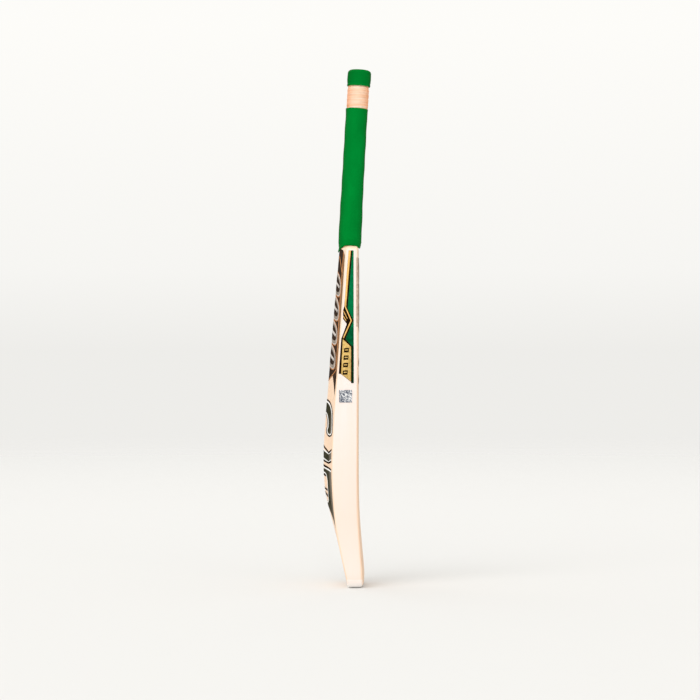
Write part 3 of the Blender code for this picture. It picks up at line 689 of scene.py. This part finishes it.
def face_label():
    """The label at the top of the playing face: three petals, a side band round each corner, and two chevrons
    below it."""
    top, knee, tip, half = 0.5430, 0.4300, 0.4180, LABEL_HALF

    def lay(name, outlines, layer, finish, replaced=()):
        surface_print(f"face_label_{name}", outlines, layer, finish, -1, replaced)

    ground = [(0.0, tip), (half, knee), (half, top), (0.0, top)]
    lay("ground", both([ground]), 0, CHARCOAL, ("face_label",))
    inside = half - 0.0050
    lines = [stroke([(0.0, tip + 0.0040), (inside, knee + 0.0036), (inside, top)], 0.0013)]
    lay("lines", both(lines), 1, COPPER)
    # The side band goes round the blade's corner, in strips that get narrower as the wood turns away.
    corner_x, corner_radius = 0.0498, 0.0042
    turns = [corner_x + corner_radius * math.sin(math.radians(a)) for a in (-20, 20, 40, 55, 68, 78)]
    wrap = [[(a, top), (a, knee), (b, knee), (b, top)] for a, b in zip(turns, turns[1:])]
    lay("side_band", both(wrap), 1, TAN)
    highest, pitch, droop = 0.5215, 0.0325, 0.0125
    layers = (("edge", 0.0372, 0.0152, COPPER), ("rim", 0.0360, 0.0141, PALE_SILVER),
              ("ring", 0.0343, 0.0125, SILVER), ("core", 0.0298, 0.0082, CHARCOAL))
    for i in range(3):
        z = highest - i * pitch
        for level, (part, half_wide, half_tall, finish) in enumerate(layers, 1):
            lay(f"petal_{i}_{part}", [petal(z, half_wide, half_tall, droop)], level, finish)
    marks = [[(0.0, z), (0.0480, z - 0.0060), (0.0480, z - 0.0150), (0.0, z - 0.0090)]
             for z in (0.3790, 0.3500)]
    lay("marks", both(marks), 0, BROWN)


# ---------------------------------------------------------------- handle


def handle_coordinates(point):
    """(angle, height, radius) of a point round the handle: the inverse of on_handle."""
    local = Matrix.Rotation(-HANDLE_LEAN, 3, "X") @ (point - HANDLE_START)
    return math.atan2(local.y, local.x / HANDLE_OVAL), local.z, math.hypot(local.x / HANDLE_OVAL, local.y)


def handle_points(node):
    """The (angle, height, radius) of each vertex of a CAD node."""
    return [handle_coordinates(v.co) for v in NODES[node].data.vertices]


def bump(distance, width):
    """1 at no distance, and smoothly less to both sides of it."""
    return math.exp(-((distance / width) ** 2))


def grip_sleeve():
    """The rubber sleeve: a slow spiral swell, a rib above its thin foot, and a rolled lip at the top."""
    top, rows, edge = GRIP_TOP, 100, 0.0006
    swell, swell_pitch, swell_start = 0.00022, 0.0417, 0.1148

    def foot_of(angle):
        """The height of the CAD sleeve's foot at an angle: the mean of the points near it, the nearest ones
        weighing the most."""
        away = [(abs(math.remainder(around - angle, 2 * math.pi)), h) for around, h, _ in GRIP_FOOT]
        near = [(1 / (1e-4 + turn), h) for turn, h in away if turn < 0.12]
        return sum(weight * h for weight, h in near) / sum(weight for weight, _ in near)

    def profile(angle):
        side = math.cos(angle) ** 2
        back = max(0.0, math.sin(angle)) ** 2
        front = max(0.0, -math.sin(angle)) ** 2
        foot = foot_of(angle) + 0.0003 * back + 0.0010 * side ** 4
        outside = []
        for h in np.linspace(foot, top, rows + 1):
            above, below = h - foot, top - h
            radius = np.interp(h, GRIP_HEIGHTS, GRIP_RADII)
            ends = max(0.0, min(1.0, above / 0.02, below / 0.012))
            turn = 2 * math.pi * (h - swell_start) / swell_pitch
            radius += ends * swell * math.cos(turn - angle + math.pi / 2)
            # Higher up, the whole sleeve stands a little further back.
            radius += 0.00055 * np.interp(h, (0.03, 0.08), (0.1, 1.0)) * math.sin(angle)
            # The rib, and the groove below it.
            radius += 0.00040 * bump(above - 0.0090, 0.0011) - 0.00025 * bump(above - 0.0066, 0.0009)
            # The foot lies closer to the handle at the back, the sides and the face.
            radius -= back * 0.0015 * bump(above - 0.0070, 0.0060) + side * 0.0008 * bump(above, 0.0030)
            radius -= front * 0.0010 * bump(above, 0.0040)
            # The rolled lip at the top.
            radius += 0.00030 * bump(below - 0.0012, 0.0011)
            outside.append((radius, h))
        low, high = outside[0][0], outside[-1][0]
        closing = [(high - 0.0004, top + edge * 0.7), (high - 0.0010, top + edge)]
        inside = [(high - 0.0016, top), (low - 0.0013, foot - 0.0011)]
        bottom = [(low - edge, foot - edge * 0.75), (low - edge * 0.3, foot - edge * 0.5)]
        return outside + closing + inside + bottom

    turned_piece("grip_sleeve_surface", profile, GRIP, ("grip_sleeve",))


def top_band():
    """The separate band over the handle's end: a soft bulge, a bead at its mouth and a rounded, open end."""
    low, high = min(p[1] for p in BAND_POINTS), max(p[1] for p in BAND_POINTS)
    wide, mouth = max(p[2] for p in BAND_POINTS), min(p[2] for p in BAND_POINTS)
    inset, corner = 0.0003, 0.0060

    def profile(angle):
        sway = 0.00025 * math.sin(angle + 0.6)
        shift = -0.00045 * math.sin(angle)
        side = []
        for t in np.linspace(0, 1, 18):
            h = low + (high - corner - low) * t
            bulge = 0.0006 * math.sin(math.pi * min(1.0, t * 1.05)) - 0.0008 * (1 - t)
            bead = 0.00055 * bump(h - low - 0.0016, 0.0012)
            crease = -0.00030 * bump(h - low - 0.0046, 0.0010)
            side.append((wide - inset + bulge + bead + crease + sway * (1 - t) + shift, h))
        centre = wide - inset - corner + shift
        arc = [(centre + corner * math.cos(a), high - corner + corner * math.sin(a))
               for a in np.radians(np.linspace(8, 90, 9))]
        dish = [(mouth + 0.0022, high + 0.0001), (mouth + 0.0008, high - 0.0004), (mouth, high - 0.0016),
                (mouth + 0.0002, high - 0.0032)]
        inside = [(wide - 0.0022, high - 0.0034), (wide - 0.0024, low + 0.0006), (wide - 0.0016, low)]
        return side + arc + dish + inside

    turned_piece("grip_top_band_surface", profile, BAND, ("grip_top_band",))


def twine_turns():
    """One thread wound round and round where the binding shows, each turn lying against the last. It starts
    under the grip and ends under the band."""
    low, high = GRIP_TOP - 0.004, min(p[1] for p in BAND_POINTS) + 0.003
    pitch, thread, lift, around, steps = 0.00125, 0.00068, 0.00010, 6, 60
    turns = int((high - low) / pitch)
    bm = bmesh.new()
    rings = []
    for k in range(turns * steps + 1):
        turn = k / steps
        angle = 2 * math.pi * turn
        h = low + pitch * turn
        base = np.interp(h, BINDING_HEIGHTS, BINDING_RADII)
        slack = 0.00022 * math.sin(turn * 2.1) + 0.00020 * math.sin(turn * 5.3 + angle)
        centre = base + lift + slack
        rings.append([on_handle(centre + thread * math.cos(b), angle, h + thread * 0.95 * math.sin(b))
                      for b in (2 * math.pi * i / around for i in range(around))])
    tube_of_rings(bm, rings)
    bm.verts.ensure_lookup_table()
    bm.faces.new([bm.verts[i] for i in range(around)][::-1])
    bm.faces.new([bm.verts[len(bm.verts) - around + i] for i in range(around)])
    bmesh.ops.recalc_face_normals(bm, faces=bm.faces)
    as_piece("twine_turns", mesh_of("twine_turns", bm), TWINE, angle=80)


def outer_profile(node, steps=24):
    """Heights along the handle and the CAD sleeve's outer radii there. They start above the grip's sloping
    foot and keep off the sleeve's ends."""
    above_foot, off_ends = 0.012, 0.0005
    points = handle_points(node)
    low = max(above_foot, min(p[1] for p in points) + off_ends)
    high = max(p[1] for p in points) - off_ends
    heights = np.linspace(low, high, steps)
    radii = [sum(radius_at(node, h, a) for a in (0.3, 1.9, 3.5, 5.1)) / 4 for h in heights]
    return heights, radii


# ---------------------------------------------------------------- stage


def sun(name, towards, strength, angle):
    """A distant light in that direction from the bat, soft over an angle in degrees."""
    light = bpy.data.lights.new(name, "SUN")
    light.energy = strength
    light.angle = math.radians(angle)
    obj = bpy.data.objects.new(name, light)
    obj.rotation_euler = Vector(towards).to_track_quat("Z", "Y").to_euler()
    bpy.context.scene.collection.objects.link(obj)


def make_lights():
    sun("key", (-0.80, 0.42, 0.95), 1.55, 50)
    sun("fill", (-0.95, -0.35, 0.55), 0.55, 60)
    sun("back_fill", (0.80, 0.30, 0.70), 0.55, 70)


def make_world():
    """A pale studio: white above and a little greyer at the horizon. It looks brighter than it shines."""
    shine = 0.72
    world = bpy.data.worlds.new("studio")
    bpy.context.scene.world = world
    world.use_nodes = True
    tree = world.node_tree
    shade = tree.nodes["Background"]
    place = tree.nodes.new("ShaderNodeTexCoord")
    split = tree.nodes.new("ShaderNodeSeparateXYZ")
    ramp = tree.nodes.new("ShaderNodeValToRGB")
    set_stops(ramp.color_ramp, ((0.0, (0.855, 0.847, 0.820)), (0.04, (0.925, 0.917, 0.890)),
                                (0.16, (0.985, 0.975, 0.945))))
    eye = tree.nodes.new("ShaderNodeLightPath")
    level = tree.nodes.new("ShaderNodeMapRange")
    level.inputs["To Min"].default_value = shine
    level.inputs["To Max"].default_value = 1.0
    tree.links.new(place.outputs["Generated"], split.inputs[0])
    tree.links.new(split.outputs["Z"], ramp.inputs["Fac"])
    tree.links.new(ramp.outputs["Color"], shade.inputs["Color"])
    tree.links.new(eye.outputs["Is Camera Ray"], level.inputs["Value"])
    tree.links.new(level.outputs["Result"], shade.inputs["Strength"])


def make_floor():
    """A pale floor that fades into the studio's white far behind the bat."""
    finish = Finish("pale_floor", (0.74, 0.735, 0.72), Roughness=0.9, Specular_IOR_Level=0.1)
    reach = finish.add("ShaderNodeVectorMath", {"operation": "LENGTH"}, i0=finish.place.outputs["Object"])
    fade = finish.add("ShaderNodeMapRange", {"interpolation_type": "SMOOTHSTEP"},
                      Value=reach.outputs["Value"])
    fade.inputs["From Min"].default_value = FLOOR_FADE[0]
    fade.inputs["From Max"].default_value = FLOOR_FADE[1]
    clear = finish.add("ShaderNodeBsdfTransparent")
    faded = finish.add("ShaderNodeMixShader", i0=fade.outputs["Result"], i1=finish.shader.outputs["BSDF"],
                       i2=clear.outputs["BSDF"])
    surface = finish.tree.nodes["Material Output"].inputs["Surface"]
    finish.tree.links.new(faded.outputs["Shader"], surface)
    bm = bmesh.new()
    bmesh.ops.create_circle(bm, cap_ends=True, segments=96, radius=FLOOR_FADE[1])
    mesh = mesh_of("floor", bm)
    mesh.materials.append(finish.material)
    floor = bpy.data.objects.new("floor", mesh)
    floor.location.z = -FLOOR_DROP
    bpy.context.scene.collection.objects.link(floor)


def make_camera():
    """A level camera that looks along +X at the bat's left edge."""
    data = bpy.data.cameras.new("camera")
    data.sensor_width = SENSOR_MM
    data.lens = SENSOR_MM * CAMERA_DISTANCE / VIEW_WIDTH
    data.clip_end = 100.0
    camera = bpy.data.objects.new("camera", data)
    camera.location = (-CAMERA_DISTANCE, CAMERA_SIDEWAYS, CAMERA_HEIGHT)
    camera.rotation_euler = Euler((math.radians(90), 0, math.radians(-90)))
    bpy.context.scene.collection.objects.link(camera)
    bpy.context.scene.camera = camera


# ---------------------------------------------------------------- making it


TREES = {"wood": tree_of("blade", *(n for n in NODES if n.startswith(("cane_", "insert_")))),
         "grip_sleeve": tree_of("grip_sleeve"), "twine_binding": tree_of("twine_binding")}
BAND_POINTS = handle_points("grip_top_band")
GRIP_POINTS = handle_points("grip_sleeve")
GRIP_TOP = max(p[1] for p in GRIP_POINTS)
# The foot's points are the low ones on the sleeve's outside.
FOOT_BELOW = min(p[1] for p in GRIP_POINTS) + 0.016
FOOT_BEYOND = max(p[2] for p in GRIP_POINTS) - 0.0002
GRIP_FOOT = [p for p in GRIP_POINTS if p[1] < FOOT_BELOW and p[2] > FOOT_BEYOND]
GRIP_HEIGHTS, GRIP_RADII = outer_profile("grip_sleeve")
BINDING_HEIGHTS, BINDING_RADII = outer_profile("twine_binding", 60)

bpy.context.scene.view_settings.view_transform = "Standard"
make_camera()
make_lights()
make_world()
make_floor()

polished("blade", WILLOW, 30)
polished("toe_guard", TOE, 40)
for node_name in sorted(NODES):
    if node_name.startswith("cane_"):
        polished(node_name, CANE)
    elif node_name.startswith("insert_"):
        polished(node_name, INSERT)
polished("twine_binding", TWINE, 60)
polished("hologram_label", FOIL)
twine_turns()
grip_sleeve()
top_band()
upper_back_label()
back_emblem()
lower_back_label()
edge_label(-1, "left")
edge_label(1, "right")
face_label()
